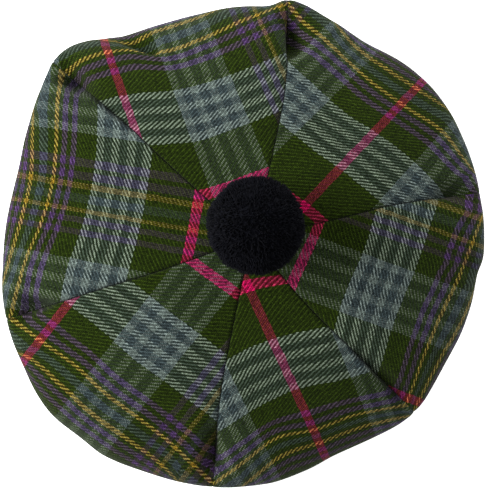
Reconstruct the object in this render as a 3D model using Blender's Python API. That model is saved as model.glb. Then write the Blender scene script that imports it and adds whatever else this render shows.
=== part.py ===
"""Tam o shanter: a wide soft crown of six tartan gores on a headband, with a pompom on top.

The hat lies on its headband. The origin is on the surface it lies on, under the middle of the
crown. +Z is up. Bearings are measured anticlockwise from +X, seen from above.
"""
import math

import bmesh
import bpy
from mathutils import Vector

MM = 0.001

# Sizes of the whole hat, in metres.
CROWN_HEIGHT = 66 * MM
TIP_CENTRE = Vector((5.7, 3.6)) * MM     # where the six seams meet, from the middle of the crown
TIP_RADIUS = 4 * MM
DOME_POWER = 2.5                         # 2 is an ellipse, and more is flatter on top
ROLL_REACH = 15 * MM                     # how far the rim turns under
ROLL_DROP = 12 * MM                      # how far the roll hangs below the widest line
ROLL_TURN = 0.4                          # share of a seam's turn to the band that the roll takes
CLOTH_THICKNESS = 1.5 * MM
SEAM_GAP = 0.3 * MM

BAND_INSIDE_RADIUS = 92.5 * MM           # a 58 cm head
BAND_THICKNESS = 2.2 * MM                # two layers of the cloth
BAND_HEIGHT = 34 * MM
BAND_EDGE_ROUND = 0.5 * MM
BAND_SIDES = 72
JOIN_HEIGHT = 32 * MM                    # outside of the crown where it meets the band
JOIN_RISE = math.radians(35)             # how steeply the underside rises into the band

SEAM_GROOVE_DEPTH = 1.1 * MM
SEAM_GROOVE_WIDTH = 1.6 * MM
SEAM_VALLEY_DEPTH = 2.4 * MM
SEAM_VALLEY_WIDTH = 16 * MM
PINCH_WIDTH = 7 * MM
PINCH_BACK = 12 * MM                     # how far inside the rim a pinch is deepest

POMPOM_RADIUS = 28.7 * MM
POMPOM_HEAD_RADIUS = 25.3 * MM
POMPOM_LEAN = Vector((1.6, 6.2)) * MM    # its centre, from the tip of the crown
POMPOM_SINK = 5 * MM                     # its flattened base takes this much off the ball
POMPOM_LOCK_TIP = 0.62                   # size of a lock's end, as a share of its root
POMPOM_LOCK_LENGTHS = (1, 0.97, 0.94, 0.91)   # how far the locks reach, as shares of the radius

# How finely the cloth is faceted.
NORMAL_STEP = 0.02                       # share of a section over which its slope is taken
TOP_ROWS = 15
ROLL_ROWS = 5
UNDER_ROWS = 5
COLUMN_SHARES = (0, 0.02, 0.06, 0.14, 0.25, 0.37, 0.5, 0.63, 0.75, 0.86, 0.94, 0.98, 1)

# The widest line of the crown: a row for each bearing where its reach from the tip or its height
# above the surface changes.
RIM = (
    # bearing_deg, reach_mm, height_mm
    (0, 134.6, 28),
    (12, 134.6, 31),
    (25, 135.2, 28),
    (40, 135.2, 27),
    (50, 133.5, 26),
    (60, 130.8, 26),
    (70, 134.1, 28),
    (81, 139.2, 31),
    (86, 134.0, 30),
    (92, 133.6, 28),
    (108, 133.4, 27),
    (117, 136.0, 27),
    (122, 139.2, 28),
    (126, 142.4, 29),
    (130, 148.2, 30),
    (134, 152.8, 31),
    (138, 154.2, 32),
    (142, 152.0, 31),
    (146, 149.4, 30),
    (160, 142.0, 28),
    (170, 141.6, 27),
    (185, 145.4, 28),
    (196, 150.0, 31),
    (210, 152.8, 28),
    (220, 155.8, 27),
    (230, 153.4, 27),
    (236, 153.8, 27),
    (245, 150.2, 27),
    (261, 146.8, 30),
    (275, 143.0, 26),
    (290, 136.0, 25),
    (301, 136.4, 27),
    (313, 138.6, 30),
    (325, 134.4, 27),
    (337, 133.2, 26),
    (350, 132.2, 27),
    (355, 134.4, 27),
)

# The six seams, anticlockwise. The bearing is given beside the pompom, half way out, at the rim
# and at the headband. The pinch is how deep the seam is drawn in just inside the rim, and the
# last column is the share of the groove and valley that is left at the rim.
SEAMS = (
    # pompom_deg, middle_deg, rim_deg, band_deg, pinch_mm, at_rim
    (14.0, 12.4, 11.4, 14, 5, 0.1),
    (76.5, 79.5, 81.4, 78, 8, 0.3),
    (140.2, 139.8, 139.2, 138, 9, 0),
    (199.5, 200.6, 198.4, 198, 6, 0.4),
    (257.5, 259.6, 261.0, 258, 7, 0.4),
    (305.5, 311.2, 312.8, 314, 6, 0.3),
)

# Soft dents pressed in the top of the cloth. The place is from the tip, and the turn is the
# bearing that the dent's length lies along. Close to the rim they fade out.
DENT_FADE = 7 * MM
DENTS = (
    # bearing_deg, reach_mm, turn_deg, length_mm, width_mm, depth_mm
    (139, 139, 140, 12, 6, 7),       # dimple in the roll at the second seam
    (196, 136, 250, 12, 6, 3),       # nick beside the seam on the left
    (352, 128, 335, 12, 5, 2.5),     # nick in the right rim
)

# Folds near the rim. Each is a line seen from above, deepest a third of the way along it, and the
# widths say how steep the cloth is on its left and right, looking from its start to its end.
FOLD_PEAK = 6.75                         # makes a fold's profile along its length rise to 1
FOLDS = (
    # from_deg, from_mm, to_deg, to_mm, left_mm, right_mm, depth_mm
    (117.0, 118, 126.0, 143, 4, 9, 6),       # between the two lobes of the far rim
    (79.2, 108, 81.2, 141, 2, 9, 7),         # right of the far seam
    (199.4, 120, 198.6, 150, 2, 6, 5),       # beyond the left seam
    (259.6, 108, 260.7, 147, 2, 9, 6),       # left of the near seam
    (311.4, 100, 312.4, 138, 3, 7, 5),       # along the near right seam
    (12.5, 104, 11.8, 134, 6, 2, 4),         # beyond the right seam
)

CLOTH_COLOUR = (0.055, 0.085, 0.045, 1)
BAND_COLOUR = (0.045, 0.07, 0.04, 1)
POMPOM_COLOUR = (0.006, 0.006, 0.010, 1)


def clear_scene():
    for item in list(bpy.data.objects):
        bpy.data.objects.remove(item, do_unlink=True)


def make_material(name, colour, roughness):
    material = bpy.data.materials.new(name)
    material.use_nodes = True
    shader = material.node_tree.nodes["Principled BSDF"]
    shader.inputs["Base Color"].default_value = colour
    shader.inputs["Roughness"].default_value = roughness
    shader.inputs["Metallic"].default_value = 0
    return material


def ease(start, end, start_slope, end_slope, share):
    """Value at a share of the way along a cubic that has the given end values and slopes."""
    square = share * share
    cube = square * share
    return (
        (2 * cube - 3 * square + 1) * start
        + (cube - 2 * square + share) * start_slope
        + (3 * square - 2 * cube) * end
        + (cube - square) * end_slope
    )


def heading(bearing):
    """Level direction of a bearing in degrees."""
    return Vector((math.cos(math.radians(bearing)), math.sin(math.radians(bearing))))


def rim_at(bearing):
    """Reach from the tip and height of the crown's widest line at a bearing in degrees."""
    bearing %= 360
    count = len(RIM)
    index = max(i for i in range(count) if RIM[i][0] <= bearing)
    rows = [RIM[(index + step) % count] for step in (-1, 0, 1, 2)]
    turns = [(index + step) // count * 360 for step in (-1, 0, 1, 2)]
    at = [row[0] + turn for row, turn in zip(rows, turns)]
    span = at[2] - at[1]
    share = (bearing - at[1]) / span
    values = []
    for column in (1, 2):
        start_slope = (rows[2][column] - rows[0][column]) / (at[2] - at[0]) * span
        end_slope = (rows[3][column] - rows[1][column]) / (at[3] - at[1]) * span
        value = ease(rows[1][column], rows[2][column], start_slope, end_slope, share)
        values.append(value * MM)
    return values


def seam_bearing(seam, zone, share):
    """Bearing of a seam, in degrees, at a place along a section of the crown."""
    at_pompom, at_middle, at_rim, at_band = SEAMS[seam % len(SEAMS)][:4]
    if zone == "top":
        outward = 2 * math.sin(share * math.pi / 2)
        if outward < 1:
            bearing = at_pompom + (at_middle - at_pompom) * outward
        else:
            bearing = at_middle + (at_rim - at_middle) * (outward - 1)
    elif zone == "roll":
        bearing = at_rim + (at_band - at_rim) * ROLL_TURN * share
    else:
        bearing = at_rim + (at_band - at_rim) * (ROLL_TURN + (1 - ROLL_TURN) * share)
    return bearing + 360 * (seam // len(SEAMS))


def section_point(bearing, zone, share):
    """Reach and height of the outside of the cloth, before the seams and dents draw it in."""
    reach, height = rim_at(bearing)
    if zone == "top":
        start = math.asin((TIP_RADIUS / reach) ** (DOME_POWER / 2))
        angle = start + (math.pi / 2 - start) * share
        out = reach * math.sin(angle) ** (2 / DOME_POWER)
        return Vector((out, height + (CROWN_HEIGHT - height) * math.cos(angle)))
    if zone == "roll":
        angle = share * math.pi / 2
        back = ROLL_REACH * (1 - math.cos(angle))
        return Vector((reach - back, height - ROLL_DROP * math.sin(angle)))
    start = Vector((reach - ROLL_REACH, height - ROLL_DROP))
    join = Vector((BAND_INSIDE_RADIUS + BAND_THICKNESS + SEAM_GAP, JOIN_HEIGHT))
    length = (join - start).length
    start_slope = Vector((-length, 0))
    end_slope = Vector((-math.cos(JOIN_RISE), math.sin(JOIN_RISE))) * length
    return ease(start, join, start_slope, end_slope, share)


def section_normal(bearing, zone, share):
    """Outward direction of the cloth in the plane of the section."""
    before = section_point(bearing, zone, max(share - NORMAL_STEP, 0))
    after = section_point(bearing, zone, min(share + NORMAL_STEP, 1))
    along = (after - before).normalized()
    return Vector((-along.y, along.x))


def seam_sink(seam, distance, back, rim_reach):
    """How far the cloth is drawn in at a distance from its seam, and back from the rim."""
    pinch, at_rim = SEAMS[seam % len(SEAMS)][4:]
    outward = 1 - back / rim_reach
    groove = SEAM_GROOVE_DEPTH * math.exp(-((distance / SEAM_GROOVE_WIDTH) ** 2))
    groove *= 1 - (1 - at_rim) * outward**6
    depth = SEAM_VALLEY_DEPTH * outward * (1 - (1 - at_rim) * outward**4)
    valley = depth * math.exp(-distance / SEAM_VALLEY_WIDTH)
    across = math.exp(-((distance / PINCH_WIDTH) ** 2))
    along = (back / PINCH_BACK * math.exp(1 - back / PINCH_BACK)) ** 2
    return groove + valley + pinch * MM * across * along


def dent_sink(place):
    """How far the dents press in the top of the cloth at a place measured from the tip."""
    sink = 0
    for bearing, reach, turn, length, width, depth in DENTS:
        away = place / MM - heading(bearing) * reach
        along = heading(turn)
        lengthwise = away.dot(along) / length
        crosswise = away.cross(along) / width
        sink += depth * MM * math.exp(-(lengthwise**2) - crosswise**2)
    return sink


def fold_sink(place):
    """How far the folds draw in the cloth at a place measured from the tip."""
    sink = 0
    for from_deg, from_mm, to_deg, to_mm, left, right, depth in FOLDS:
        start = heading(from_deg) * from_mm
        along = heading(to_deg) * to_mm - start
        length = along.length
        along.normalize()
        away = place / MM - start
        grown = min(max(away.dot(along) / length, 0), 1)
        aside = along.cross(away)
        width = left if aside > 0 else right
        profile = FOLD_PEAK * grown * (1 - grown) ** 2
        sink += depth * MM * profile * math.exp(-((aside / width) ** 2))
    return sink


def cloth_point(gore, across, zone, share):
    """Point on the outside of a gore: across runs 0 to 1 from its first seam to its next."""
    first = seam_bearing(gore, zone, share)
    last = seam_bearing(gore + 1, zone, share)
    middle = section_point((first + last) / 2, zone, share)
    gap = math.degrees(SEAM_GAP / 2 / middle.x)
    bearing = first + gap + (last - first - 2 * gap) * across
    section = section_point(bearing, zone, share)
    width = math.radians(last - first) * section.x
    rim_reach = rim_at(bearing)[0]
    back = rim_reach - section.x if zone == "top" else 0
    sink = 0
    for seam, distance in ((gore, across * width), (gore + 1, (1 - across) * width)):
        sink += seam_sink(seam, distance, back, rim_reach)
    outward = heading(bearing)
    sink += fold_sink(outward * section.x)
    if zone == "under":
        sink *= 1 - share
    if zone == "top":
        sink += dent_sink(outward * section.x) * min(back / DENT_FADE, 1)
    section -= section_normal(bearing, zone, share) * sink
    centre = TIP_CENTRE * (1 - share) if zone == "under" else TIP_CENTRE
    flat = centre + outward * section.x
    return Vector((flat.x, flat.y, section.y))


def section_rows():
    """Rows of a gore from the tip to the headband, each a zone and a share of the way along it."""
    rows = [("top", row / TOP_ROWS) for row in range(TOP_ROWS)]
    rows += [("roll", row / ROLL_ROWS) for row in range(ROLL_ROWS)]
    rows += [("under", row / UNDER_ROWS) for row in range(UNDER_ROWS + 1)]
    return rows


def add_object(name, mesh, material, sharp_degrees):
    mesh.materials.append(material)
    mesh.shade_smooth()
    mesh.set_sharp_from_angle(angle=math.radians(sharp_degrees))
    item = bpy.data.objects.new(name, mesh)
    bpy.context.scene.collection.objects.link(item)
    return item


def make_gore(gore, material):
    """One panel of the crown: a sheet from the tip over the rim to the band, made a wall."""
    name = f"crown_gore_{gore + 1}"
    sheet = bmesh.new()
    grid = []
    for zone, share in section_rows():
        places = [cloth_point(gore, across, zone, share) for across in COLUMN_SHARES]
        grid.append([sheet.verts.new(place) for place in places])
    for near, far in zip(grid, grid[1:]):
        for column in range(len(near) - 1):
            sheet.faces.new((near[column], far[column], far[column + 1], near[column + 1]))
    mesh = bpy.data.meshes.new(name)
    sheet.to_mesh(mesh)
    sheet.free()
    item = add_object(name, mesh, material, 60)
    wall = item.modifiers.new("cloth thickness", "SOLIDIFY")
    wall.thickness = CLOTH_THICKNESS
    wall.offset = -1
    return item


def make_headband(material):
    """The upright cloth ring that the head goes into, with softly rounded edges."""
    inside = BAND_INSIDE_RADIUS
    outside = inside + BAND_THICKNESS
    soft = BAND_EDGE_ROUND
    profile = (
        (outside - soft, 0),
        (outside, soft),
        (outside, BAND_HEIGHT - soft),
        (outside - soft, BAND_HEIGHT),
        (inside + soft, BAND_HEIGHT),
        (inside, BAND_HEIGHT - soft),
        (inside, soft),
        (inside + soft, 0),
    )
    ring = bmesh.new()
    loops = []
    for side in range(BAND_SIDES):
        turn = 2 * math.pi * side / BAND_SIDES
        loops.append([
            ring.verts.new((radius * math.cos(turn), radius * math.sin(turn), height))
            for radius, height in profile
        ])
    for side in range(BAND_SIDES):
        here = loops[side]
        there = loops[(side + 1) % BAND_SIDES]
        for corner in range(len(profile)):
            following = (corner + 1) % len(profile)
            ring.faces.new((here[corner], there[corner], there[following], here[following]))
    mesh = bpy.data.meshes.new("headband")
    ring.to_mesh(mesh)
    ring.free()
    return add_object("headband", mesh, material, 35)


def make_pompom(material):
    """A ball of short wool locks, each drawn out of the head that they all grow from."""
    ball = bmesh.new()
    bmesh.ops.create_icosphere(ball, subdivisions=3, radius=POMPOM_HEAD_RADIUS)
    locks = bmesh.ops.extrude_discrete_faces(ball, faces=ball.faces[:])["faces"]
    for number, lock in enumerate(locks):
        outward = lock.calc_center_median().normalized()
        tip = outward * POMPOM_RADIUS * POMPOM_LOCK_LENGTHS[number % len(POMPOM_LOCK_LENGTHS)]
        centre = lock.calc_center_median()
        for corner in lock.verts:
            corner.co = tip + (corner.co - centre) * POMPOM_LOCK_TIP
    base = -POMPOM_RADIUS + POMPOM_SINK
    for corner in ball.verts:
        corner.co.z = max(corner.co.z, base)
    rise = CROWN_HEIGHT + SEAM_GAP - base
    middle = TIP_CENTRE + POMPOM_LEAN
    bmesh.ops.translate(ball, verts=ball.verts, vec=(middle.x, middle.y, rise))
    mesh = bpy.data.meshes.new("pompom")
    ball.to_mesh(mesh)
    ball.free()
    return add_object("pompom", mesh, material, 50)


def main():
    clear_scene()
    cloth = make_material("tartan cloth", CLOTH_COLOUR, 0.9)
    for gore in range(len(SEAMS)):
        make_gore(gore, cloth)
    make_headband(make_material("band cloth", BAND_COLOUR, 0.9))
    make_pompom(make_material("pompom wool", POMPOM_COLOUR, 0.95))


main()
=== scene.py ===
"""Looks of a tam o shanter: tartan gores, a cloth headband and a wool pompom on a pale floor.

Sizes are in metres, and tables are in millimetres. Bearings are in degrees, anticlockwise from
+X, seen from above.
"""
import random
from bisect import bisect_right
from functools import lru_cache
from math import asin, cos, degrees, dist, exp, pi, radians, sin, sqrt

import bpy
from bpy.props import FloatProperty, FloatVectorProperty, IntProperty, PointerProperty
from bpy.types import Operator, Panel, PropertyGroup
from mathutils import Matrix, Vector
from mathutils import noise


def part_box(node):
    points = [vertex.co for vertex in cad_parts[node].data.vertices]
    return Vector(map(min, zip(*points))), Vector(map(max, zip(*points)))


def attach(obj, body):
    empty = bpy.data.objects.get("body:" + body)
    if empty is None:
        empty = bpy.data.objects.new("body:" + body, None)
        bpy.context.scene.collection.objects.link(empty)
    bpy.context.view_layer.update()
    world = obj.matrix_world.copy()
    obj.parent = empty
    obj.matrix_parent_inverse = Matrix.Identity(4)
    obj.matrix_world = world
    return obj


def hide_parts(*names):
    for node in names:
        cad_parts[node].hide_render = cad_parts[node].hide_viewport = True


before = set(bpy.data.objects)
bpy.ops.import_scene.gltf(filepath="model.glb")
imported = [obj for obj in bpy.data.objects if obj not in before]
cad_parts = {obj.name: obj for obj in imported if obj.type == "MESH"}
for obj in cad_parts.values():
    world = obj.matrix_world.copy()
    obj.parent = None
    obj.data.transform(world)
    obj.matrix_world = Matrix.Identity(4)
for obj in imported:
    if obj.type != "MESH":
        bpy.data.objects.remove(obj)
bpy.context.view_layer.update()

bl_info = {
    "name": "Tam o shanter",
    "version": (1, 0, 0),
    "blender": (4, 5, 0),
    "location": "View3D > Sidebar > Tam",
    "description": "Models a tartan tam o shanter around its packed solids",
    "category": "Add Mesh",
}

MM = 0.001

# ---- the crown's shape

TIP_CENTRE = Vector((5.7, 3.6)) * MM  # where the six seams meet
TIP_RADIUS = 4 * MM
DOME_POWER = 2.5  # 2 is an ellipse, and more is flatter on top
ROLL_REACH = 15 * MM  # how far the rim turns under
ROLL_DROP = 12 * MM  # how far the roll hangs below the widest line
SEAM_GAP = 0.1 * MM
JOIN_HEIGHT = 32 * MM  # outside of the crown where it meets the band
JOIN_RISE = radians(35)  # how steeply the underside rises into the band
ROLL_TURN = 0.4  # share of a seam's turn to the band that the roll takes
SEAM_VALLEY_WIDTH = 16 * MM
PINCH_WIDTH = 7 * MM
PINCH_BACK = 12 * MM  # how far inside the rim a pinch is deepest
DENT_FADE = 7 * MM  # dents fade out over this distance from the rim
FOLD_PEAK = 6.75  # makes a fold's profile along its length rise to 1
BROAD_WAVE = 38 * MM  # lengths of the cloth's soft waves
SHORT_WAVE = 17 * MM
PUCKER_LENGTH = 5.5 * MM  # length of the ripples beside the seams
PUCKER_REACH = 7 * MM  # how far from the seams they die out
NORMAL_STEP = 0.02  # share of a section over which its slope is taken

BAND_LOW, BAND_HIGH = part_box("headband")
BAND_OUTSIDE_RADIUS = BAND_HIGH.x
BAND_INSIDE_RADIUS = 92.5 * MM
POMPOM_LOW, POMPOM_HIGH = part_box("pompom")

# The widest line of the crown: a row for each bearing where its reach from the tip or its height
# above the floor changes.
RIM = (
    # bearing_deg, reach_mm, height_mm
    (0, 134.6, 28), (12, 134.6, 31), (25, 135.2, 28), (40, 135.2, 27),
    (50, 133.5, 26), (60, 130.8, 26), (70, 134.1, 28), (81, 139.2, 31),
    (86, 134.0, 30), (92, 133.6, 28), (108, 133.4, 27), (117, 136.0, 27),
    (122, 139.2, 28), (126, 142.4, 29), (130, 148.2, 30), (134, 152.8, 31),
    (138, 154.2, 32), (142, 152.0, 31), (146, 149.4, 30), (160, 142.0, 28),
    (170, 141.6, 27), (185, 145.4, 28), (196, 150.0, 31), (210, 152.8, 28),
    (220, 155.8, 27), (230, 153.4, 27), (236, 153.8, 27), (245, 150.2, 27),
    (261, 146.8, 30), (275, 143.0, 26), (290, 136.0, 25), (301, 136.4, 27),
    (313, 138.6, 30), (325, 134.4, 27), (337, 133.2, 26), (350, 132.2, 27),
    (355, 134.4, 27),
)

# The six seams, anticlockwise. The bearing is given beside the pompom, half way out, at the rim
# and at the headband. The pinch is how deep the seam is drawn in just inside the rim, and the
# last column is the share of the groove and valley that is left at the rim.
SEAMS = (
    # pompom_deg, middle_deg, rim_deg, band_deg, pinch_mm, at_rim
    (10.5, 12.8, 10.9, 14, 5, 0.15),
    (75.5, 77.2, 81.4, 78, 8, 0.15),
    (141.0, 138.3, 138.8, 138, 9, 0.2),
    (202.0, 199.1, 198.6, 198, 6, 0.2),
    (257.0, 258.3, 261.0, 258, 7, 0.15),
    (305.5, 311.2, 312.8, 314, 6, 0.2),
)

# Soft dents pressed in the top of the cloth. The place is from the tip, and the turn is the
# bearing that the dent's length lies along.
DENTS = (
    # bearing_deg, reach_mm, turn_deg, length_mm, width_mm, depth_mm
    (139, 139, 140, 12, 6, 7),       # dimple in the roll at the second seam
    (196, 136, 250, 12, 6, 3),       # nick beside the seam on the left
    (352, 128, 335, 12, 5, 2.5),     # nick in the right rim
)

# Folds near the rim. Each is a line seen from above, deepest a third of the way along it, and the
# widths say how steep the cloth is on its left and right, looking from its start to its end.
FOLDS = (
    # from_deg, from_mm, to_deg, to_mm, left_mm, right_mm, depth_mm
    (117.0, 118, 126.0, 143, 1.5, 6, 7.5),   # between the two lobes of the far rim
    (78.4, 104, 81.4, 139, 1.2, 11, 11),     # right of the far seam
    (138.3, 88, 138.9, 146, 1.2, 6, 4.5),    # along the far left seam
    (199.0, 120, 198.7, 150, 1.2, 6, 6),     # beyond the left seam
    (259.3, 110, 260.8, 147, 1.2, 6, 5.5),   # left of the near seam
    (311.2, 84, 312.6, 138, 6, 1.2, 5.5),    # along the near right seam
    (12.3, 104, 11.3, 134, 5, 1.2, 4.5),     # beyond the right seam
)

# ---- the tartan

# Half of the mirrored stripe pattern, from the middle of the pink stripe to the middle of the
# slate one between the yellows. It is the same in both directions of the cloth.
STRIPES = (
    # yarn, width_mm
    ("pink", 2.67),
    ("green", 27.06),
    ("sage", 5.22), ("slate", 5.22), ("sage", 5.22), ("slate", 5.22),
    ("sage", 5.22), ("slate", 5.22), ("sage", 5.22),
    ("green", 13.05),
    ("violet", 3.65),
    ("green", 3.25),
    ("violet", 3.65),
    ("green", 2.32),
    ("yellow", 2.78),
    ("green", 3.36),
    ("slate", 2.67),
)
HALF_SETT = sum(width for _, width in STRIPES)


def stripe_start(number):
    """Distance of a stripe's start from the middle of the pink one, in millimetres."""
    return sum(width for _, width in STRIPES[:number])


YELLOW_MIDDLE = (stripe_start(14) + stripe_start(15)) / 2
LANDMARKS = {
    "pink": 0,
    "band_start": stripe_start(2),
    "band_end": stripe_start(9),
    "yellow_1": YELLOW_MIDDLE,
    "yellow_2": 2 * HALF_SETT - YELLOW_MIDDLE,
    "next_band": 2 * HALF_SETT - stripe_start(9),
}

# How each gore is cut from the cloth. The axis is the bearing of its lengthwise yarns, lean is how
# far they drift to the right for each millimetre outward, and gather is the share by which they
# draw together. Sides says how far right of the axis, looking outward, lengthwise stripes lie.
# Outs has a row for each of the crosswise stripes of OUT_MARKS, and says how far out from the
# origin it lies at eight stations across the gore.
WEAVE_ORIGIN = Vector((6.1, 2.9)) * MM
LEAN_FROM = 81  # how far out the sides were taken
SEEN_FROM = 1573 * MM  # height above the rim from which the places were taken
RIM_HEIGHT = 28 * MM  # height of the rim, where the picture's scale is taken
BEYOND = 100  # length past the charted stripes that is left unstretched
STATIONS = (-70, -58, -34.8, -11.6, 11.6, 34.8, 58, 70)
OUT_MARKS = ("pink", "band_start", "band_end", "yellow_1", "yellow_2")
CUTS = (
    dict(
        axis=46, lean=0, gather=0.001,
        sides=(
            ("band_end", -1, -57.0), ("band_start", -1, -23.4), ("pink", 1, 8.1),
            ("band_start", 1, 36.8)),
        outs=(
            (16.0, 18.0, 22.0, 29.5, 33.8, 34.8, 36.0, 36.5),
            (59.2, 59.0, 59.0, 60.7, 64.0, 65.8, 67.9, 69.0),
            (87.5, 87.9, 88.7, 89.7, 94.3, 96.9, 96.6, 96.4),
            (111.9, 111.9, 111.9, 113.1, 116.3, 120.6, 117.7, 116.2),
            (124.7, 123.5, 121.2, 124.5, 129.0, 132.2, 125.3, 121.8),
        )),
    dict(
        axis=110, lean=-0.025, gather=0.001,
        sides=(
            ("pink", 1, -42.9), ("band_start", 1, -14.7), ("band_end", 1, 20.4),
            ("yellow_1", 1, 49.4)),
        outs=(
            (38.5, 37.2, 34.8, 32.8, 32.6, 32.8, 33.4, 33.7),
            (78.0, 75.4, 69.8, 63.6, 63.0, 63.4, 64.4, 65.0),
            (109.0, 106.7, 102.1, 96.0, 93.7, 94.0, 94.9, 95.4),
            (126.3, 130.8, 128.6, 119.2, 118.6, 120.4, 121.0, 121.3),
            (142.5, 145.0, 134.6, 132.0, 131.1, 131.1, 125.9, 123.3),
        )),
    dict(
        axis=170, lean=0, gather=0.0005,
        sides=(
            ("band_end", 1, -30.2), ("yellow_1", 1, -1.7), ("yellow_2", 1, 12.8),
            ("next_band", 1, 42.9)),
        outs=(
            (36.8, 36.5, 36.0, 35.2, 34.9, 34.8, 35.4, 35.7),
            (69.9, 69.2, 67.8, 65.8, 65.0, 65.8, 67.8, 68.8),
            (104.6, 104.2, 103.3, 99.2, 97.6, 98.6, 102.0, 103.7),
            (131.0, 129.9, 127.6, 122.4, 120.1, 122.0, 125.4, 125.6),
            (140.4, 139.2, 136.9, 134.3, 133.1, 136.3, 139.5, 142.0),
        )),
    dict(
        axis=232, lean=0, gather=0,
        sides=(
            ("yellow_2", -1, -53.9), ("yellow_1", -1, -39.4), ("band_end", -1, -9.9),
            ("band_start", -1, 27.3), ("pink", 1, 60.9)),
        outs=(
            (31.0, 31.0, 31.0, 31.2, 32.1, 32.0, 32.0, 32.0),
            (62.1, 62.2, 62.4, 62.6, 63.2, 62.9, 63.2, 63.4),
            (96.8, 96.9, 97.2, 97.4, 98.2, 96.6, 96.4, 96.3),
            (126.8, 125.6, 123.3, 123.2, 123.8, 122.0, 122.7, 123.0),
            (139.8, 138.6, 136.3, 137.1, 138.0, 136.0, 134.6, 137.5),
        )),
    dict(
        axis=293.8, lean=0, gather=0.0008,
        sides=(("band_start", -1, -19.1), ("pink", 1, 13.3), ("band_start", 1, 42.9)),
        outs=(
            (36.5, 35.4, 33.2, 30.2, 24.6, 23.8, 25.0, 25.6),
            (75.7, 73.1, 67.9, 62.6, 58.2, 57.4, 61.8, 64.0),
            (103.4, 102.1, 99.4, 95.9, 90.9, 91.0, 94.2, 95.8),
            (131.8, 128.8, 122.8, 117.9, 116.3, 111.8, 116.9, 119.5),
            (137.8, 135.1, 129.6, 125.6, 124.4, 122.4, 127.9, 130.7),
        )),
    dict(
        axis=343, lean=0.05, gather=0,
        sides=(
            ("yellow_2", -1, -51.4), ("yellow_1", -1, -36.3), ("band_end", -1, -9.3),
            ("band_start", -1, 27.8), ("pink", 1, 61.0)),
        outs=(
            (36.8, 36.3, 35.2, 33.5, 30.3, 27.6, 26.1, 25.4),
            (65.7, 65.0, 63.6, 63.3, 60.6, 60.2, 62.6, 63.8),
            (97.1, 96.9, 96.5, 95.8, 93.5, 92.6, 94.2, 95.0),
            (124.4, 123.8, 122.6, 120.6, 117.2, 115.0, 113.8, 113.2),
            (134.2, 133.4, 131.7, 131.7, 129.9, 124.5, 120.3, 118.2),
        )),
)


def metres(name, description, default):
    """A length among the settings."""
    return FloatProperty(name=name, description=description, default=default, unit="LENGTH")


def tint(name, description, default):
    """A colour among the settings."""
    return FloatVectorProperty(
        name=name, description=description, default=default, subtype="COLOR")


class TamCloth(PropertyGroup):
    """Sizes and yarn colours of the tartan cloth."""

    crown_height: metres("Crown height", "Height of the crown's tip above the floor", 66 * MM)
    thickness: metres("Cloth thickness", "Thickness of one layer of the cloth", 1.5 * MM)
    allowance: metres("Seam allowance", "Width of cloth turned in at each seam", 5 * MM)
    groove_depth: metres("Seam groove", "How deep the sewn seams sink between the gores", 1.8 * MM)
    groove_width: metres(
        "Seam groove width", "Distance over which a gore's edge turns in", 2.2 * MM)
    valley_depth: metres("Seam valley", "How far the gores puff up between the seams", 2.4 * MM)
    pucker: metres("Pucker", "Height of the small ripples beside the seams", 0.35 * MM)
    ripple: metres("Ripple", "Height of the broad soft waves of the cloth", 0.7 * MM)
    end_pitch: metres("Warp pitch", "Distance between lengthwise yarns", 0.84 * MM)
    pick_pitch: metres("Weft pitch", "Distance between crosswise yarns", 0.60 * MM)
    fuzz: FloatProperty(
        name="Fuzz", description="How much each yarn takes on the colours around it",
        default=0.85, subtype="FACTOR", min=0, max=1)
    green: tint("Green yarn", "Ground of the tartan", (0.0105, 0.0187, 0.0013))
    sage: tint("Sage yarn", "Pale grey-green stripes", (0.0780, 0.1000, 0.0900))
    slate: tint("Slate yarn", "Grey stripes between the sage", (0.0220, 0.0320, 0.0337))
    violet: tint("Violet yarn", "Narrow paired stripes", (0.0365, 0.0185, 0.0565))
    yellow: tint("Yellow yarn", "Narrow stripes beside the middle slate", (0.1300, 0.0800, 0.0072))
    pink: tint("Pink yarn", "Single bright stripe", (0.3080, 0.0041, 0.0510))


class TamPompom(PropertyGroup):
    """Sizes and colour of the pompom."""

    yarns: IntProperty(
        name="Yarn ends", description="How many cut yarn ends stand on the ball", default=9000)
    yarn_width: metres("Yarn width", "Width of one cut yarn end", 0.9 * MM)
    pile: metres("Pile", "Length of the cut yarn ends", 6 * MM)
    wool: tint("Wool", "Colour of the pompom's wool", (0.0018, 0.0020, 0.0035))


class TamStage(PropertyGroup):
    """Camera, lights and floor."""

    lens: FloatProperty(
        name="Lens", description="Focal length of the camera, in millimetres", default=200)
    view_width: metres("View width", "Width of what the picture shows at the rim", 281.9 * MM)
    key: FloatProperty(
        name="Key light", description="Power of the large lamp at the left, in watts",
        default=47)
    back: FloatProperty(
        name="Back light", description="Power of the lamp beyond the hat, in watts", default=20)
    sky: FloatProperty(
        name="Room light", description="Strength of the even light of the room", default=0.77)
    glow: FloatProperty(
        name="Floor glow", description="Strength of the light from below the white floor",
        default=0.75)


# ---- shape of the cloth


def heading(bearing):
    """Level direction of a bearing in degrees."""
    return Vector((cos(radians(bearing)), sin(radians(bearing))))


def ease(start, end, start_slope, end_slope, share):
    """Value at a share of the way along a cubic that has the given end values and slopes."""
    square = share * share
    cube = square * share
    return (
        (2 * cube - 3 * square + 1) * start
        + (cube - 2 * square + share) * start_slope
        + (3 * square - 2 * cube) * end
        + (cube - square) * end_slope
    )


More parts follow.
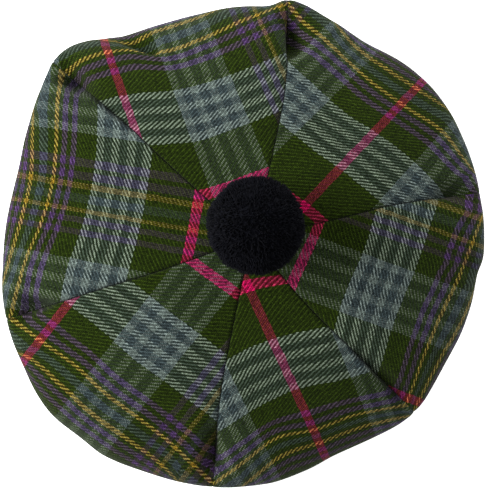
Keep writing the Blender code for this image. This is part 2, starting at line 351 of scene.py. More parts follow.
def curve_at(places, values, place):
    """Value at a place on a smooth curve through values at rising places, straight beyond."""
    last = len(places) - 1

    def slope(index):
        before, after = max(index - 1, 0), min(index + 1, last)
        return (values[after] - values[before]) / (places[after] - places[before])

    if place <= places[0]:
        return values[0] + slope(0) * (place - places[0])
    if place >= places[last]:
        return values[last] + slope(last) * (place - places[last])
    index = bisect_right(places, place) - 1
    span = places[index + 1] - places[index]
    share = (place - places[index]) / span
    return ease(
        values[index], values[index + 1], slope(index) * span, slope(index + 1) * span, share)


RIM_TURNS = [(at + turn, *sizes) for turn in (-360, 0, 360) for at, *sizes in RIM]
RIM_BEARINGS, *RIM_SIZES = zip(*RIM_TURNS)


@lru_cache(maxsize=None)
def rim_at(bearing):
    """Reach from the tip and height of the crown's widest line at a bearing in degrees."""
    return [curve_at(RIM_BEARINGS, values, bearing % 360) * MM for values in RIM_SIZES]


def seam_bearing(seam, zone, share):
    """Bearing of a seam, in degrees, at a place along a section of the crown."""
    at_pompom, at_middle, at_rim, at_band = SEAMS[seam % len(SEAMS)][:4]
    if zone == "top":
        outward = 2 * sin(share * pi / 2)
        if outward < 1:
            bearing = at_pompom + (at_middle - at_pompom) * outward
        else:
            bearing = at_middle + (at_rim - at_middle) * (outward - 1)
    elif zone == "roll":
        bearing = at_rim + (at_band - at_rim) * ROLL_TURN * share
    else:
        bearing = at_rim + (at_band - at_rim) * (ROLL_TURN + (1 - ROLL_TURN) * share)
    return bearing + 360 * (seam // len(SEAMS))


def section_point(cloth, bearing, zone, share):
    """Reach and height of the outside of the cloth, before the seams and dents draw it in."""
    reach, height = rim_at(bearing)
    if zone == "top":
        start = asin((TIP_RADIUS / reach) ** (DOME_POWER / 2))
        angle = start + (pi / 2 - start) * share
        out = reach * sin(angle) ** (2 / DOME_POWER)
        return Vector((out, height + (cloth.crown_height - height) * cos(angle)))
    if zone == "roll":
        angle = share * pi / 2
        back = ROLL_REACH * (1 - cos(angle))
        return Vector((reach - back, height - ROLL_DROP * sin(angle)))
    start = Vector((reach - ROLL_REACH, height - ROLL_DROP))
    join = Vector((BAND_OUTSIDE_RADIUS + SEAM_GAP, JOIN_HEIGHT))
    length = (join - start).length
    start_slope = Vector((-length, 0))
    end_slope = Vector((-cos(JOIN_RISE), sin(JOIN_RISE))) * length
    return ease(start, join, start_slope, end_slope, share)


def section_normal(cloth, bearing, zone, share):
    """Outward direction of the cloth in the plane of the section."""
    before = section_point(cloth, bearing, zone, max(share - NORMAL_STEP, 0))
    after = section_point(cloth, bearing, zone, min(share + NORMAL_STEP, 1))
    along = (after - before).normalized()
    return Vector((-along.y, along.x))


def seam_sink(cloth, seam, distance, back, rim_reach):
    """How far the cloth is drawn in at a distance from its seam, and back from the rim."""
    pinch, at_rim = SEAMS[seam % len(SEAMS)][4:]
    outward = 1 - back / rim_reach
    shoulder = max(1 - distance / cloth.groove_width, 0)
    groove = cloth.groove_depth * (1 - sqrt(1 - shoulder**2))
    groove *= 1 - (1 - at_rim) * outward**6
    depth = cloth.valley_depth * outward * (1 - (1 - at_rim) * outward**4)
    valley = depth * exp(-distance / SEAM_VALLEY_WIDTH)
    across = exp(-((distance / PINCH_WIDTH) ** 2))
    along = (back / PINCH_BACK * exp(1 - back / PINCH_BACK)) ** 2
    return groove + valley + pinch * MM * across * along


def dent_sink(place):
    """How far the dents press in the top of the cloth at a place measured from the tip."""
    sink = 0
    for bearing, reach, turn, length, width, depth in DENTS:
        away = place / MM - heading(bearing) * reach
        along = heading(turn)
        lengthwise = away.dot(along) / length
        crosswise = away.cross(along) / width
        sink += depth * MM * exp(-(lengthwise**2) - crosswise**2)
    return sink


def fold_sink(place):
    """How far the folds draw in the cloth at a place measured from the tip."""
    sink = 0
    for from_deg, from_mm, to_deg, to_mm, left, right, depth in FOLDS:
        start = heading(from_deg) * from_mm
        along = heading(to_deg) * to_mm - start
        length = along.length
        along.normalize()
        away = place / MM - start
        grown = min(max(away.dot(along) / length, 0), 1)
        aside = along.cross(away)
        width = left if aside > 0 else right
        profile = FOLD_PEAK * grown * (1 - grown) ** 2
        sink += depth * MM * profile * exp(-((aside / width) ** 2))
    return sink


def ripple_sink(cloth, point, distance):
    """Small uneven waves of the cloth, tighter beside the seams."""
    broad = noise.noise(point / BROAD_WAVE) + 0.5 * noise.noise(point / SHORT_WAVE)
    tight = noise.noise(point / PUCKER_LENGTH) * exp(-distance / PUCKER_REACH)
    return cloth.ripple * broad + cloth.pucker * tight


def cloth_point(cloth, gore, across, zone, share):
    """A point on the outside of a gore: where it lies, where it would lie without the folds, where
    it would lie if nothing drew it in, and the direction into the crown there."""
    first = seam_bearing(gore, zone, share)
    last = seam_bearing(gore + 1, zone, share)
    middle = section_point(cloth, (first + last) / 2, zone, share)
    gap = degrees(SEAM_GAP / 2 / middle.x)
    bearing = first + gap + (last - first - 2 * gap) * across
    section = section_point(cloth, bearing, zone, share)
    width = radians(last - first) * section.x
    rim_reach = rim_at(bearing)[0]
    back = rim_reach - section.x if zone == "top" else 0
    sink = 0
    for seam, distance in ((gore, across * width), (gore + 1, (1 - across) * width)):
        sink += seam_sink(cloth, seam, distance, back, rim_reach)
    outward = heading(bearing)
    centre = TIP_CENTRE * (1 - share) if zone == "under" else TIP_CENTRE
    smooth = centre + outward * section.x
    smooth = Vector((smooth.x, smooth.y, section.y))
    fold = fold_sink(outward * section.x)
    sink += ripple_sink(cloth, smooth, min(across, 1 - across) * width)
    if zone == "top":
        sink += dent_sink(outward * section.x) * min(back / DENT_FADE, 1)
    elif zone == "under":
        sink *= 1 - share
        fold *= 1 - share
    normal = section_normal(cloth, bearing, zone, share)
    inward = -Vector((outward.x * normal.x, outward.y * normal.x, normal.y))
    return smooth + inward * (sink + fold), smooth + inward * sink, smooth, inward


def section_rows(top, roll, under):
    """Rows of a gore from the tip to the headband, each a zone and a share of the way along it."""
    rows = [("top", row / top) for row in range(top)]
    rows += [("roll", row / roll) for row in range(roll)]
    rows += [("under", row / under) for row in range(under + 1)]
    return rows


CROWDING = 0.75  # how far the columns draw together beside the seams


def column_shares(count):
    """Places across a gore from 0 to 1, closer together beside the seams."""
    shares = []
    for column in range(count + 1):
        even = column / count
        crowded = (1 - cos(pi * even)) / 2
        shares.append((1 - CROWDING) * even + CROWDING * crowded)
    return shares


def side_place(cut, side):
    """Place in the stripe pattern of the lengthwise yarn that lies to one side of the axis."""
    rows = [(at, sign * LANDMARKS[name]) for name, sign, at in cut["sides"]]
    rows.insert(0, (rows[0][0] - BEYOND, rows[0][1] - BEYOND))
    rows.append((rows[-1][0] + BEYOND, rows[-1][1] + BEYOND))
    return curve_at([at for at, _ in rows], [place for _, place in rows], side)


def chart_marks(cut, lengths, outs, sides):
    """Length down a column at which it crosses each crosswise stripe, and its pattern place."""
    marks = []
    number = 0
    for name, values in zip(OUT_MARKS, cut["outs"]):
        while outs[number] < curve_at(STATIONS, values, sides[number]):
            number += 1
        short = curve_at(STATIONS, values, sides[number - 1]) - outs[number - 1]
        over = outs[number] - curve_at(STATIONS, values, sides[number])
        step = lengths[number] - lengths[number - 1]
        marks.append((lengths[number - 1] + step * short / (short + over), LANDMARKS[name]))
    start, end = marks[0], marks[-1]
    return [(0, start[1] - start[0])] + marks + [(end[0] + BEYOND, end[1] + BEYOND)]


def weave_places(cut, unfolded, smooth, inward):
    """Place on the flat cloth, across and along its yarns, of each point down one column."""
    axis = heading(cut["axis"])
    right = Vector((axis.y, -axis.x))
    aways = []
    lengths = []
    outs = []
    for number, (row, point) in enumerate(zip(GORE_ROWS, unfolded)):
        seen = point.xy * SEEN_FROM / (SEEN_FROM + RIM_HEIGHT - point.z)
        aways.append((seen - WEAVE_ORIGIN) / MM)
        step = (smooth[number] - smooth[max(number - 1, 0)]).length / MM
        step *= abs(inward[number].xy.normalized().dot(axis))
        lengths.append(lengths[-1] + step if number else 0)
        outs.append(aways[-1].dot(axis) if row[0] == "top" else outs[-1] + step)
    marks = chart_marks(cut, lengths, outs, [away.dot(right) for away in aways])
    mark_lengths, mark_places = zip(*marks)
    places = []
    for away, length in zip(aways, lengths):
        past = away.dot(axis) - LEAN_FROM
        side = (away.dot(right) - cut["lean"] * past) * (1 + cut["gather"] * past)
        along = curve_at(mark_lengths, mark_places, length)
        places.append((side_place(cut, side) * MM, along * MM))
    return places


# ---- materials


def add_node(tree, kind, **settings):
    node = tree.nodes.new(kind)
    for name, value in settings.items():
        setattr(node, name, value)
    return node


def feed(tree, value, socket):
    """Links a socket to another one, or sets it to a plain value."""
    if isinstance(value, bpy.types.NodeSocket):
        tree.links.new(value, socket)
    else:
        socket.default_value = value


def feed_all(tree, node, values):
    """Links or sets inputs of a node by their names."""
    for name, value in values.items():
        feed(tree, value, node.inputs[name])


def calc(tree, operation, *values):
    """A Math node on sockets or numbers."""
    node = add_node(tree, "ShaderNodeMath", operation=operation)
    for value, socket in zip(values, node.inputs):
        feed(tree, value, socket)
    return node.outputs["Value"]


def blend_numbers(tree, share, first, second):
    """The first number where the share is 0, and the second where it is 1."""
    return calc(tree, "MULTIPLY_ADD", share, calc(tree, "SUBTRACT", second, first), first)


def blend_colours(tree, share, first, second, mode="MIX"):
    node = add_node(tree, "ShaderNodeMix", data_type="RGBA", blend_type=mode)
    for value, name in ((share, "Factor_Float"), (first, "A_Color"), (second, "B_Color")):
        socket = next(item for item in node.inputs if item.identifier == name)
        feed(tree, value, socket)
    return next(item for item in node.outputs if item.identifier == "Result_Color")


def grey(tree, value):
    """A grey as light as a number."""
    node = add_node(tree, "ShaderNodeCombineColor")
    for channel in ("Red", "Green", "Blue"):
        feed(tree, value, node.inputs[channel])
    return node.outputs["Color"]


def darken(tree, colour, light):
    """A colour times a number."""
    return blend_colours(tree, 1.0, colour, grey(tree, light), "MULTIPLY")


def brightness(tree, colour):
    node = add_node(tree, "ShaderNodeRGBToBW")
    feed(tree, colour, node.inputs["Color"])
    return node.outputs["Val"]


EYE = 1 / 2.2  # power that makes equal steps of light look equal


def gamma(tree, colour, power):
    node = add_node(tree, "ShaderNodeGamma")
    feed_all(tree, node, {"Color": colour, "Gamma": power})
    return node.outputs["Color"]


def blend_hues(tree, share, colour, around):
    """Gives a colour the hue of what lies around it, and leaves it as bright as it was."""
    seen = gamma(tree, colour, EYE)
    mixed = blend_colours(tree, share, seen, around)
    lost = calc(tree, "SUBTRACT", brightness(tree, seen), brightness(tree, mixed))
    total = blend_colours(tree, 1.0, mixed, grey(tree, lost), "ADD")
    total.node.clamp_result = True
    return gamma(tree, total, 1 / EYE)


def noise_texture(tree, place, scale, detail):
    node = add_node(tree, "ShaderNodeTexNoise")
    feed_all(tree, node, {"Vector": place, "Scale": scale, "Detail": detail})
    return node.outputs["Fac"]


def rescale(tree, value, low, high):
    """Stretches 0 to 1 over low to high."""
    return calc(tree, "MULTIPLY_ADD", value, high - low, low)


def yarn_colour(tree, cloth, number, pitch):
    """Colour of the yarn with a number, by the stripe that its middle lies in."""
    half_sett = HALF_SETT * MM
    middle = calc(tree, "MULTIPLY", calc(tree, "ADD", number, 0.5), pitch)
    place = calc(tree, "DIVIDE", calc(tree, "PINGPONG", middle, half_sett), half_sett)
    ramp = add_node(tree, "ShaderNodeValToRGB")
    ramp.color_ramp.interpolation = "CONSTANT"
    stops = ramp.color_ramp.elements
    while len(stops) < len(STRIPES):
        stops.new(1)
    for stop, (yarn, _) in enumerate(STRIPES):
        stops[stop].position = stripe_start(stop) / HALF_SETT
        stops[stop].color = (*getattr(cloth, yarn), 1)
    feed(tree, place, ramp.inputs["Fac"])
    return ramp.outputs["Color"]


def yarn_tone(tree, number, seed):
    """A different number from 0 to 1 for each yarn."""
    white = add_node(tree, "ShaderNodeTexWhiteNoise", noise_dimensions="1D")
    feed(tree, calc(tree, "ADD", number, seed), white.inputs["W"])
    return white.outputs["Value"]


def rounded(tree, place, power):
    """1 in the middle of a yarn's width or length and 0 at its ends."""
    centred = calc(tree, "ABSOLUTE", calc(tree, "MULTIPLY_ADD", place, 2, -1))
    return calc(tree, "SUBTRACT", 1, calc(tree, "POWER", centred, power))


WARP_COVER = 0.8  # share of a lengthwise yarn's width that shows; its edges beyond get painted shade
WARP_LIGHT = 0.62  # lengthwise yarns lie deeper and catch less light
WEFT_LIGHT = 1.25  # crosswise yarns stand proud and catch more
WARP_SHARE = 0.4  # share of the cloth's face that is lengthwise yarn
WANDER = 0.9  # how many yarns the weave strays to either side


def yarn_numbers(tree, chart, place, pitch, stray_scale):
    """Number of the yarn that a place lies in, and how far across that yarn it is."""
    stray = rescale(tree, noise_texture(tree, chart, stray_scale, 2), -WANDER, WANDER)
    count = calc(tree, "MULTIPLY_ADD", place, 1 / pitch, stray)
    number = calc(tree, "FLOOR", count)
    return number, calc(tree, "SUBTRACT", count, number)


def weave_nodes(tree, cloth):
    """Colour, height and share of the light of a two-over-two twill in the tartan's yarns."""
    chart = add_node(tree, "ShaderNodeUVMap", uv_map="cloth").outputs["UV"]
    split = add_node(tree, "ShaderNodeSeparateXYZ")
    tree.links.new(chart, split.inputs["Vector"])
    end, across_end = yarn_numbers(tree, chart, split.outputs["X"], cloth.end_pitch, 160)
    pick, across_pick = yarn_numbers(tree, chart, split.outputs["Y"], cloth.pick_pitch, 120)
    step = calc(tree, "FLOORED_MODULO", calc(tree, "SUBTRACT", pick, end), 4)
    off_middle = calc(tree, "ABSOLUTE", calc(tree, "SUBTRACT", across_end, 0.5))
    end_over = calc(tree, "LESS_THAN", step, 1.5)
    # Beyond WARP_COVER the edges of a lengthwise float show painted shade: the darker colour of the
    # two yarns crossing there.
    gap = calc(tree, "MULTIPLY", end_over, calc(tree, "GREATER_THAN", off_middle, WARP_COVER / 2))
    end_colour = yarn_colour(tree, cloth, end, cloth.end_pitch)
    pick_colour = yarn_colour(tree, cloth, pick, cloth.pick_pitch)
    top_colour = blend_colours(tree, end_over, pick_colour, end_colour)
    painted_gap_shade = blend_colours(tree, 1.0, pick_colour, end_colour, "DARKEN")
    top_colour = blend_colours(tree, gap, top_colour, painted_gap_shade)
    around = blend_colours(
        tree, WARP_SHARE, gamma(tree, pick_colour, EYE), gamma(tree, end_colour, EYE))
    colour = blend_hues(tree, cloth.fuzz, top_colour, around)
    end_length = calc(tree, "DIVIDE", calc(tree, "ADD", step, across_pick), 2)
    pick_step = calc(tree, "SUBTRACT", 3, step)
    pick_length = calc(tree, "DIVIDE", calc(tree, "ADD", pick_step, across_end), 2)
    end_height = calc(
        tree, "MULTIPLY", rounded(tree, across_end, 2), rounded(tree, end_length, 3))
    pick_height = calc(
        tree, "MULTIPLY", rounded(tree, across_pick, 4), rounded(tree, pick_length, 2))
    height = calc(tree, "MAXIMUM", blend_numbers(tree, end_over, pick_height, end_height), 0)
    catch = blend_numbers(tree, end_over, WEFT_LIGHT, WARP_LIGHT)
    tone = blend_numbers(
        tree, end_over, yarn_tone(tree, pick, 0.3), yarn_tone(tree, end, 7.7))
    return colour, height, calc(tree, "MULTIPLY", rescale(tree, tone, 0.8, 1.2), catch)


def new_material(name):
    """A material, its nodes, its shader, and places measured on the piece that wears it."""
    material = bpy.data.materials.new(name)
    material.use_nodes = True
    tree = material.node_tree
    place = add_node(tree, "ShaderNodeTexCoord").outputs["Object"]
    return material, tree, tree.nodes["Principled BSDF"], place


def tartan_cloth(name):
    """Wool twill in the tartan, from the cloth coordinates that each piece carries."""
    material, tree, shader, place = new_material(name)
    colour, height, catch = weave_nodes(tree, bpy.context.scene.tam_cloth)
    wool = noise_texture(tree, place, 900, 3)
    wear = noise_texture(tree, place, 28, 4)
    light = rescale(tree, height, 0.25, 1.6)
    light = calc(tree, "MULTIPLY", light, catch)
    light = calc(tree, "MULTIPLY", light, rescale(tree, wool, -0.5, 2.5))
    light = calc(tree, "MULTIPLY", light, rescale(tree, wear, 0.88, 1.12))
    bump = add_node(tree, "ShaderNodeBump")
    feed_all(tree, bump, {
        "Strength": 0.5, "Distance": 0.25 * MM,
        "Height": calc(tree, "MULTIPLY_ADD", wool, 0.4, height)})
    feed_all(tree, shader, {
        "Base Color": darken(tree, colour, light), "Roughness": rescale(tree, wool, 0.8, 1.0),
        "Specular IOR Level": 0.02, "Sheen Weight": 0.04, "Sheen Roughness": 0.5,
        "Normal": bump.outputs["Normal"]})
    return material


def pompom_wool():
    """Near-black cut wool, a little lighter on some yarns."""
    look = bpy.context.scene.tam_pompom
    material, tree, shader, place = new_material("pompom wool")
    tuft = noise_texture(tree, place, 260, 3)
    fibre = noise_texture(tree, place, 2400, 2)
    light = calc(
        tree, "MULTIPLY", rescale(tree, tuft, 0.3, 1.9), rescale(tree, fibre, 0.5, 1.5))
    feed_all(tree, shader, {
        "Base Color": darken(tree, (*look.wool, 1), light),
        "Roughness": rescale(tree, fibre, 0.8, 1.0),
        "Specular IOR Level": 0.05, "Sheen Weight": 0.01, "Sheen Roughness": 0.6})
    return material


def stitch_thread():
    """Dark green sewing thread."""
    material, tree, shader, place = new_material("sewing thread")
    ply = noise_texture(tree, place, 3000, 2)
    colour = (*bpy.context.scene.tam_cloth.green, 1)
    feed_all(tree, shader, {
        "Base Color": darken(tree, colour, rescale(tree, ply, 0.7, 1.8)),
        "Roughness": rescale(tree, ply, 0.5, 0.8)})
    return material


def floor_paper():
    """Matt white paper with the faintest unevenness, lit from below."""
    material, tree, shader, place = new_material("white floor")
    grain = noise_texture(tree, place, 40, 3)
    colour = blend_colours(tree, grain, (0.93, 0.93, 0.93, 1), (0.95, 0.95, 0.95, 1))
    feed_all(tree, shader, {
        "Base Color": colour, "Roughness": 0.9, "Specular IOR Level": 0.1,
        "Emission Color": colour, "Emission Strength": bpy.context.scene.tam_stage.glow})
    return material


# ---- modelling


def deselect_all():
    bpy.ops.object.select_all(action="DESELECT")


def add_object(name, data):
    item = bpy.data.objects.new(name, data)
    bpy.context.scene.collection.objects.link(item)
    return item


def name_piece(item, name, material):
    item.name = name
    item.data.name = name
    item.data.materials.clear()
    item.data.materials.append(material)


def flat_grid(columns, rows):
    """A flat grid to shape into cloth, a metre along each side."""
    deselect_all()
    bpy.ops.mesh.primitive_grid_add(x_subdivisions=columns, y_subdivisions=rows, size=1)
    return bpy.context.active_object


def thicken(item, thickness, smooth_degrees):
    """Gives a sheet its thickness inward and smooths all but its sharp edges."""
    wall = item.modifiers.new("cloth thickness", "SOLIDIFY")
    wall.thickness = thickness
    wall.offset = -1
    bpy.context.view_layer.objects.active = item
    bpy.ops.object.modifier_apply(modifier=wall.name)
    bpy.ops.object.shade_smooth_by_angle(angle=radians(smooth_degrees))


def join_to(item, others):
    """Joins other objects to an object."""
    deselect_all()
    for each in (item, *others):
        each.select_set(True)
    bpy.context.view_layer.objects.active = item
    bpy.ops.object.join()


def chart_cloth(mesh, places):
    """Writes the flat cloth's coordinates of every vertex in the piece's UV map."""
    layer = mesh.uv_layers.active
    layer.name = "cloth"
    for loop in mesh.loops:
        layer.data[loop.index].uv = places[loop.vertex_index]


GORE_COLUMNS = 104
GORE_ROWS = section_rows(84, 20, 22)
ALLOWANCE_STEPS = 3  # columns of cloth turned in at each side of a gore
SEAM_PRESS = 0.6  # share of the gap that each turned-in edge closes


def gore_column(cloth, gore, across):
    """Points down one column of a gore and their places in the cloth, then where they would lie if
    nothing drew them in, and the way into the crown."""
    rows = [cloth_point(cloth, gore, across, zone, share) for zone, share in GORE_ROWS]
    drawn, unfolded, smooth, inward = zip(*rows)
    return drawn, weave_places(CUTS[gore], unfolded, smooth, inward), smooth, inward


def turned_in(cloth, column, beside, step, side):
    """A column of the seam allowance, which turns in from the gore's edge to the next gore's."""
    drawn, places, smooth, inward = column
    depth = cloth.allowance * step / ALLOWANCE_STEPS
    points = []
    for point, edge, inner, into in zip(drawn, smooth, beside[2], inward):
        toward = (edge - inner).normalized()
        points.append(point + into * depth + toward * SEAM_GAP * SEAM_PRESS)
    return points, [(across + side * depth, along) for across, along in places]


def shape_gore(item, cloth, gore):
    """Moves a flat grid's points to the gore's shape and gives them their place in the cloth."""
    columns = [gore_column(cloth, gore, across) for across in column_shares(GORE_COLUMNS)]
    steps = range(1, ALLOWANCE_STEPS + 1)
    right = [turned_in(cloth, columns[0], columns[1], step, 1) for step in steps]
    left = [turned_in(cloth, columns[-1], columns[-2], step, -1) for step in steps]
    columns = right[::-1] + [column[:2] for column in columns] + left
    mesh = item.data
    last_column = len(columns) - 1
    last_row = len(GORE_ROWS) - 1
    places = {}
    for vertex in mesh.vertices:
        column = round((vertex.co.x + 0.5) * last_column)
        row = round((0.5 - vertex.co.y) * last_row)
        drawn, woven = columns[column]
        vertex.co = drawn[row]
        places[vertex.index] = woven[row]
    chart_cloth(mesh, places)


def flat_gore_size(gore):
    """Width, length and area of the gore as it is cut, with its seam allowances."""
    cloth = bpy.context.scene.tam_cloth
    middle = [cloth_point(cloth, gore, 0.5, *row)[2] for row in GORE_ROWS]
    length = 0
    area = 0
    widest = 0
    for number, row in enumerate(GORE_ROWS):
        step = (middle[number] - middle[number - 1]).length if number else 0
        steps = [cloth_point(cloth, gore, k / 8, *row)[2] for k in range(9)]
        width = sum((b - a).length for a, b in zip(steps, steps[1:])) + 2 * cloth.allowance
        length += step
        area += step * width
        widest = max(widest, width)
    return widest, length, area


class TAM_OT_crown(Operator):
    """Models the six tartan gores of the crown as sheets of cloth with their true thickness"""

    bl_idname = "tam.crown"
    bl_label = "Crown gores"

    def execute(self, context):
        cloth = context.scene.tam_cloth
        material = tartan_cloth("tartan wool twill")
        for gore in range(len(SEAMS)):
            node = f"crown_gore_{gore + 1}"
            piece = flat_grid(GORE_COLUMNS + 2 * ALLOWANCE_STEPS, len(GORE_ROWS) - 1)
            name_piece(piece, f"tartan_gore_{gore + 1}", material)
            shape_gore(piece, cloth, gore)
            thicken(piece, cloth.thickness, 70)
            width, length, area = flat_gore_size(gore)
            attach(piece, "root")
            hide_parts(node)
        return {"FINISHED"}


BAND_SIDES = 240
BAND_FACE_ROWS = 8  # rows of the grid up each face of the band
BAND_FOLD_ROWS = 6  # rows of the grid round its lower fold
BAND_WAVE = 0.5 * MM  # how unevenly the band stands
BAND_WAVE_LENGTH = 25 * MM
BAND_START = 12 * MM  # where the strip is cut from the stripe pattern
BAND_JOIN = 78  # bearing in degrees where the band's two ends are sewn
STITCH_PITCH = 3.4 * MM
STITCH_LENGTH = 2.4 * MM
STITCH_WIDTH = 0.45 * MM
STITCH_HEIGHT = 5 * MM  # the stitch row's height above the band's lower fold


def band_wave(bearing, height):
    """How far the band stands out of true at a bearing and height. Its upper edge is held round."""
    share = (BAND_HIGH.z - height) / (BAND_HIGH.z - BAND_LOW.z)
    place = Vector((*heading(bearing) * BAND_OUTSIDE_RADIUS, height))
    return BAND_WAVE * noise.noise(place / BAND_WAVE_LENGTH) * share


def band_rows():
    """Radius and height down the band's outer face, round its lower fold and up the inner face."""
    soft = (BAND_OUTSIDE_RADIUS - BAND_INSIDE_RADIUS) / 2
    middle = BAND_INSIDE_RADIUS + soft
    fold = BAND_LOW.z + soft
    step = (BAND_HIGH.z - fold) / BAND_FACE_ROWS
    rows = [(BAND_OUTSIDE_RADIUS, BAND_HIGH.z - row * step) for row in range(BAND_FACE_ROWS)]
    for row in range(BAND_FOLD_ROWS + 1):
        angle = pi * row / BAND_FOLD_ROWS
        rows.append((middle + soft * cos(angle), fold - soft * sin(angle)))
    rows += [(BAND_INSIDE_RADIUS, fold + row * step) for row in range(1, BAND_FACE_ROWS + 1)]
    return rows


def shape_band(item, rows):
    """Moves a flat grid's points to a strip folded double along its lower edge and bent round."""
    gap = degrees(SEAM_GAP / 2 / BAND_INSIDE_RADIUS)
    lengths = [0]
    for near, far in zip(rows, rows[1:]):
        lengths.append(lengths[-1] + dist(near, far))
    places = {}
    for vertex in item.data.vertices:
        row = round((0.5 - vertex.co.y) * (len(rows) - 1))
        share = vertex.co.x + 0.5
        out, height = rows[row]
        bearing = BAND_JOIN + gap + (360 - 2 * gap) * share
        flat = heading(bearing) * (out + band_wave(bearing, height))
        vertex.co = (flat.x, flat.y, height)
        around = 2 * pi * BAND_OUTSIDE_RADIUS * share
        places[vertex.index] = (BAND_START + around, BAND_START + lengths[row])
    chart_cloth(item.data, places)
    return lengths[-1]


def add_band_stitches(context):
    """One stitch, copied round the band just above its lower fold."""
    deselect_all()
    bpy.ops.mesh.primitive_uv_sphere_add(segments=6, ring_count=4, radius=STITCH_WIDTH / 2)
    stitch = context.active_object
    bpy.ops.object.mode_set(mode="EDIT")
    bpy.ops.mesh.select_all(action="SELECT")
    bpy.ops.transform.resize(value=(1, STITCH_LENGTH / STITCH_WIDTH, 1))
    place = (BAND_OUTSIDE_RADIUS, 0, BAND_LOW.z + STITCH_HEIGHT)
    bpy.ops.transform.translate(value=place)
    bpy.ops.object.mode_set(mode="OBJECT")
    count = round(2 * pi * BAND_OUTSIDE_RADIUS / STITCH_PITCH)
    copies = []
    for number in range(1, count):
        copy = add_object("stitch", stitch.data.copy())
        turn = 2 * pi * number / count
        copy.rotation_euler.z = turn
        wave = band_wave(degrees(turn), BAND_LOW.z + STITCH_HEIGHT)
        copy.location = (*heading(degrees(turn)) * wave, 0)
        copies.append(copy)
    join_to(stitch, copies)
    bpy.ops.object.transform_apply(location=True, rotation=True, scale=True)
    bpy.ops.object.shade_smooth()
    name_piece(stitch, "band_stitches", stitch_thread())
    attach(stitch, "root")


class TAM_OT_headband(Operator):
    """Models the headband as a strip of the same cloth folded double, with a row of stitches"""

    bl_idname = "tam.headband"
    bl_label = "Headband"

    def execute(self, context):
        rows = band_rows()
        piece = flat_grid(BAND_SIDES, len(rows) - 1)
        name_piece(piece, "cloth_headband", tartan_cloth("headband twill"))
        width = shape_band(piece, rows)
        thicken(piece, (BAND_OUTSIDE_RADIUS - BAND_INSIDE_RADIUS - SEAM_GAP) / 2, 60)
        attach(piece, "root")
        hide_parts("headband")
        add_band_stitches(context)
        return {"FINISHED"}


POMPOM_SEED = 7
POMPOM_UNEVEN = 1.6 * MM
POMPOM_LUMPS = 3  # how many times the trimmed surface rises and falls
POMPOM_TRIM = 2 * MM  # yarns that end further below the flat base are cut off
PILE_CLEAR = 0.6  # share of the pile that stands clear of the ball
YARN_SPREAD = 0.03  # how unevenly the yarns stand on the ball
YARN_LEAN = 0.09  # how far their ends bend over
YARN_SIDES = 3
YARN_RINGS = (0, 0.45, 0.8, 1)
YARN_WIDTHS = (1, 1, 0.8, 0.25)


def pompom_yarns(look, centre, radius, base):
    """Points and faces of every cut yarn end, bent a little and spread evenly on the ball."""
    draw = random.Random(POMPOM_SEED)
    golden = pi * (3 - sqrt(5))
    points = []
    faces = []
    for number in range(look.yarns):
        level = 1 - 2 * (number + 0.5) / look.yarns
        ring = sqrt(1 - level * level)
        turn = golden * number
        spread = Vector((draw.gauss(0, 1), draw.gauss(0, 1), draw.gauss(0, 1)))
        outward = Vector((ring * cos(turn), ring * sin(turn), level))
        outward = (outward + spread * YARN_SPREAD).normalized()
        lean = (outward + spread * YARN_LEAN).normalized()
        uneven = POMPOM_UNEVEN * (noise.noise(outward * POMPOM_LUMPS) - 0.5)
        length = look.pile * draw.uniform(0.85, 1.0) + uneven
        width = look.yarn_width / 2 * draw.uniform(0.7, 1.15)
        side = outward.orthogonal().normalized()
        other = outward.cross(side)
        spin = draw.uniform(0, 2 * pi)
        root = centre + outward * (radius - look.pile)
        if (centre + outward * radius).z < base - POMPOM_TRIM:
            continue
        start = len(points)
        for share, wide in zip(YARN_RINGS, YARN_WIDTHS):
            bent = outward.lerp(lean, share)
            middle = root + bent * length * share
            for corner in range(YARN_SIDES):
                angle = spin + 2 * pi * corner / YARN_SIDES
                edge = side * cos(angle) + other * sin(angle)
                place = middle + edge * width * wide
                place.z = max(place.z, base)
                points.append(place)
        for step in range(len(YARN_RINGS) - 1):
            for corner in range(YARN_SIDES):
                near = start + step * YARN_SIDES
                far = near + YARN_SIDES
                following = (corner + 1) % YARN_SIDES
                faces.append((near + corner, near + following, far + following, far + corner))
        last = start + (len(YARN_RINGS) - 1) * YARN_SIDES
        faces.append(tuple(last + corner for corner in range(YARN_SIDES)))
        faces.append(tuple(start + corner for corner in reversed(range(YARN_SIDES))))
    return points, faces


class TAM_OT_pompom(Operator):
    """Models the pompom as a ball thick with cut yarn ends"""

    bl_idname = "tam.pompom"
    bl_label = "Pompom"

    def execute(self, context):
        look = context.scene.tam_pompom
        radius = (POMPOM_HIGH.x - POMPOM_LOW.x) / 2
        middle = (POMPOM_LOW + POMPOM_HIGH) / 2
        centre = Vector((middle.x, middle.y, POMPOM_HIGH.z - radius))
        deselect_all()
        bpy.ops.mesh.primitive_ico_sphere_add(
            subdivisions=5, radius=radius - look.pile * PILE_CLEAR, location=centre)
        piece = context.active_object
        material = pompom_wool()
        name_piece(piece, "wool_pompom", material)
        bpy.ops.object.transform_apply(location=True, rotation=True, scale=True)
        for vertex in piece.data.vertices:
            vertex.co.z = max(vertex.co.z, POMPOM_LOW.z)
        points, faces = pompom_yarns(look, centre, radius, POMPOM_LOW.z)
        pile = bpy.data.meshes.new("pile")
        pile.from_pydata(points, [], faces)
        yarns = add_object("pile", pile)
        pile.materials.append(material)
        join_to(piece, [yarns])
        bpy.ops.object.shade_smooth()
        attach(piece, "root")
        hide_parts("pompom")
        return {"FINISHED"}


SENSOR = 36  # width of the camera's sensor, in millimetres
PICTURE_WIDE, PICTURE_HIGH = 486, 488  # pixels
VIEW_X, VIEW_Y = 0.3 * MM, -0.6 * MM  # what the camera looks straight down at
KEY_PLACE = (-1.25, 0.25, 0.85)
BACK_PLACE = (0.7, 1.25, 0.35)
LAMP_SIZE = 0.9
FLOOR_SIZE = 8
FLOOR_DROP = 0.1 * MM  # how far the floor lies below the band


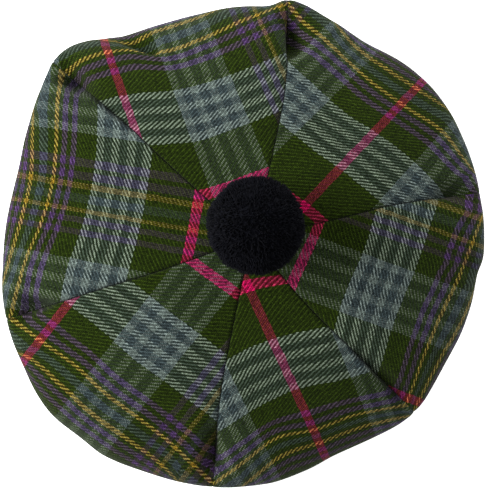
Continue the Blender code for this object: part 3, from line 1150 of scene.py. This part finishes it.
def add_lamp(name, place, power):
    lamp = add_object(name, bpy.data.lights.new(name, "AREA"))
    lamp.data.size = LAMP_SIZE
    lamp.data.energy = power
    lamp.location = place
    lamp.rotation_euler = (-Vector(place)).to_track_quat("-Z", "Y").to_euler()
    lamp.visible_camera = False


class TAM_OT_stage(Operator):
    """Sets the pale floor, the soft lights and the camera straight above"""

    bl_idname = "tam.stage"
    bl_label = "Stage"

    def execute(self, context):
        look = context.scene.tam_stage
        deselect_all()
        bpy.ops.mesh.primitive_plane_add(size=FLOOR_SIZE, location=(0, 0, -FLOOR_DROP))
        floor = context.active_object
        name_piece(floor, "floor", floor_paper())
        add_lamp("key", KEY_PLACE, look.key)
        add_lamp("back", BACK_PLACE, look.back)
        world = bpy.data.worlds.new("room")
        world.use_nodes = True
        background = world.node_tree.nodes["Background"]
        background.inputs["Color"].default_value = (1, 1, 1, 1)
        background.inputs["Strength"].default_value = look.sky
        context.scene.world = world
        camera = add_object("camera", bpy.data.cameras.new("camera"))
        camera.data.lens = look.lens
        camera.data.sensor_width = SENSOR
        camera.data.clip_end = 50
        distance = look.view_width * look.lens / SENSOR * PICTURE_HIGH / PICTURE_WIDE
        camera.location = (VIEW_X, VIEW_Y, RIM_HEIGHT + distance)
        context.scene.camera = camera
        context.scene.view_settings.view_transform = "Standard"
        context.scene.view_settings.look = "None"
        return {"FINISHED"}


class TAM_PT_sidebar(Panel):
    """Lists the sizes and colours, and a button for each piece"""

    bl_idname = "TAM_PT_sidebar"
    bl_label = "Tam o shanter"
    bl_space_type = "VIEW_3D"
    bl_region_type = "UI"
    bl_category = "Tam"

    def draw(self, context):
        for group in (getattr(context.scene, name) for name in GROUPS):
            box = self.layout.box()
            for name in group.bl_rna.properties.keys():
                if name not in ("rna_type", "name"):
                    box.prop(group, name)
        for step in STEPS:
            self.layout.operator(step.bl_idname)


GROUPS = {"tam_cloth": TamCloth, "tam_pompom": TamPompom, "tam_stage": TamStage}
STEPS = (TAM_OT_stage, TAM_OT_crown, TAM_OT_headband, TAM_OT_pompom)
CLASSES = (*GROUPS.values(), *STEPS, TAM_PT_sidebar)


def register():
    for item in CLASSES:
        bpy.utils.register_class(item)
    for name, group in GROUPS.items():
        setattr(bpy.types.Scene, name, PointerProperty(type=group))


def unregister():
    for name in GROUPS:
        delattr(bpy.types.Scene, name)
    for item in reversed(CLASSES):
        bpy.utils.unregister_class(item)


def main():
    register()
    bpy.ops.tam.stage()
    bpy.ops.tam.crown()
    bpy.ops.tam.headband()
    bpy.ops.tam.pompom()


if __name__ == "__main__":
    main()
